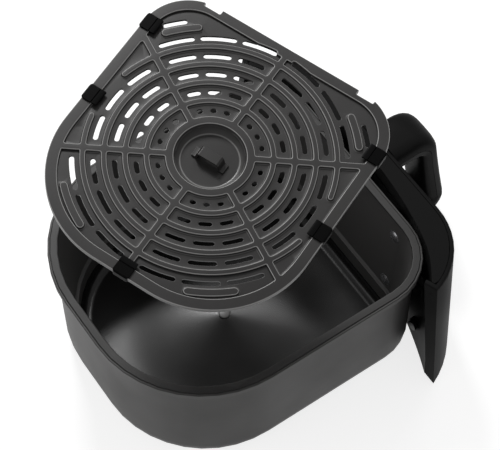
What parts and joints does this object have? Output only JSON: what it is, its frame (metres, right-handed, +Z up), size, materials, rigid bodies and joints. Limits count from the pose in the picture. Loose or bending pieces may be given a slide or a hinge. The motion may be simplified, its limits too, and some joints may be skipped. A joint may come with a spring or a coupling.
{
  "type": "air fryer drawer with crisper plate",
  "caption": "Drawer of a basket air fryer: coated pan with a black front panel and handle, and its slotted crisper plate held above it.",
  "frame": {"origin": "under the middle of the pan, on the surface it stands on", "axes": "+Z up, -Y towards the front panel and handle, +X to the right as seen from behind the handle"},
  "size_m": [0.3054, 0.3628, 0.3176],
  "materials": {
    "pan_coating": "satin non-stick coating",
    "plate_coating": "satin non-stick coating",
    "steel": "satin",
    "black_plastic": "satin",
    "cap_plastic": "satin",
    "silicone": "satin"
  },
  "bodies": {
    "drawer": {"outer_pan": "pan_coating", "inner_pan": "pan_coating", "pan_rivets": "steel", "mount_bracket": "steel", "bracket_screws": "steel", "inner_frame": "black_plastic", "front_panel": "black_plastic", "top_cap": "cap_plastic", "panel_screws": "steel", "handle_back": "black_plastic", "handle_cover": "black_plastic", "handle_screws": "steel"},
    "floor_stud": {"floor_disc": "steel"},
    "plate": {"crisper_plate": "plate_coating", "lift_bridge": "plate_coating", "bumper_left_front": "silicone", "bumper_left_back": "silicone", "bumper_right_front": "silicone", "bumper_right_back": "silicone", "bumper_back": "silicone"}
  },
  "joints": [
    {"name": "plate_turn", "type": "hinge", "parent": "drawer", "child": "floor_stud", "pos_m": [0, 0, 0.005], "axis": [-0.0938, -0.2443, 0.9652], "range_deg": [-23.49, 0]},
    {"name": "plate_lift", "type": "slide", "parent": "floor_stud", "child": "plate", "axis": [-0.0792, 0.0908, 0.9927], "range_m": [-0.28784, 0]}
  ],
  "couplings": [
    {"joint": "plate_turn", "follows": "plate_lift", "rad_per_m": 1.4237}
  ]
}
